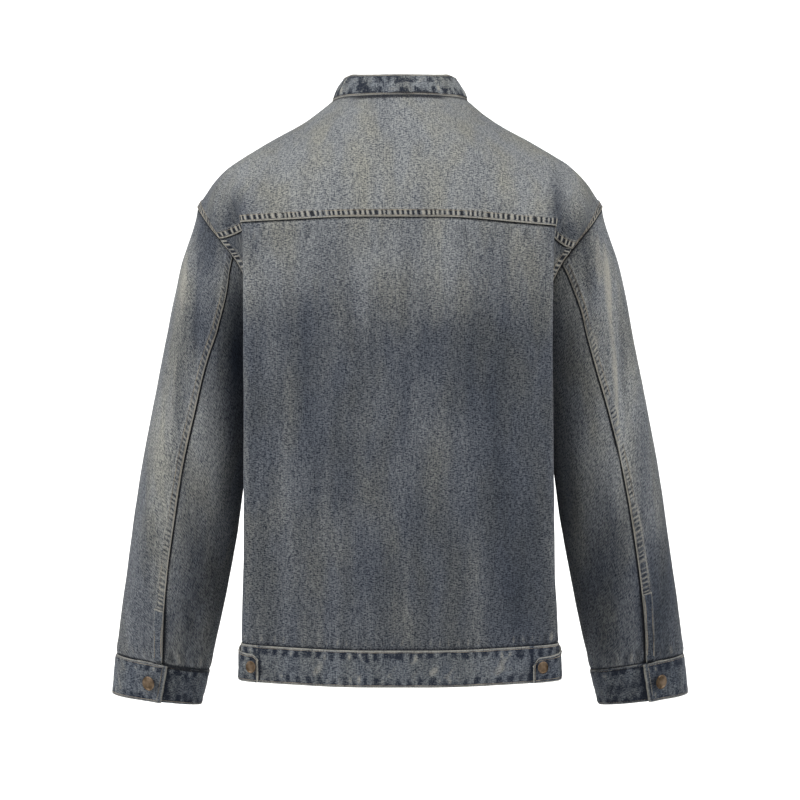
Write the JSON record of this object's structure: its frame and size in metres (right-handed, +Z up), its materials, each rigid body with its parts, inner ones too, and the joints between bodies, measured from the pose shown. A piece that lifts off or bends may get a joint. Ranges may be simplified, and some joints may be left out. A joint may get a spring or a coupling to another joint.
{
  "type": "denim jacket",
  "caption": "Washed denim jacket with a stand collar, back yoke, dropped shoulders, buttoned cuffs and a waistband with buttoned tabs, in its worn hollow shape.",
  "frame": {"origin": "the middle of the neck opening, at the height where the collar meets the shoulder line, where the wearer's shoulders carry the jacket", "axes": "+Z up, +Y the way the wearer faces (the back of the jacket faces -Y), +X the wearer's right"},
  "size_m": [0.6792, 0.2518, 0.7368],
  "materials": {
    "denim": "washed indigo denim twill, faded",
    "denim_bands": "washed indigo denim, folded and topstitched",
    "buttons": "aged copper-brass, satin"
  },
  "bodies": {
    "root": {"yoke": "denim", "back": "denim", "front_left": "denim", "front_right": "denim", "front_button_band": "denim_bands", "collar": "denim_bands", "waistband_back": "denim_bands", "waistband_left": "denim_bands", "waistband_right": "denim_bands", "sleeve_outer_left": "denim", "sleeve_under_left": "denim", "cuff_left": "denim_bands", "sleeve_placket_left": "denim_bands", "sleeve_outer_right": "denim", "sleeve_under_right": "denim", "cuff_right": "denim_bands", "sleeve_placket_right": "denim_bands", "front_button_1": "buttons", "front_button_2": "buttons", "front_button_3": "buttons", "front_button_4": "buttons", "front_button_5": "buttons", "waistband_button": "buttons", "cuff_button_left": "buttons", "cuff_button_right": "buttons", "tab_button_left": "buttons", "tab_button_right": "buttons"}
  },
  "joints": []
}
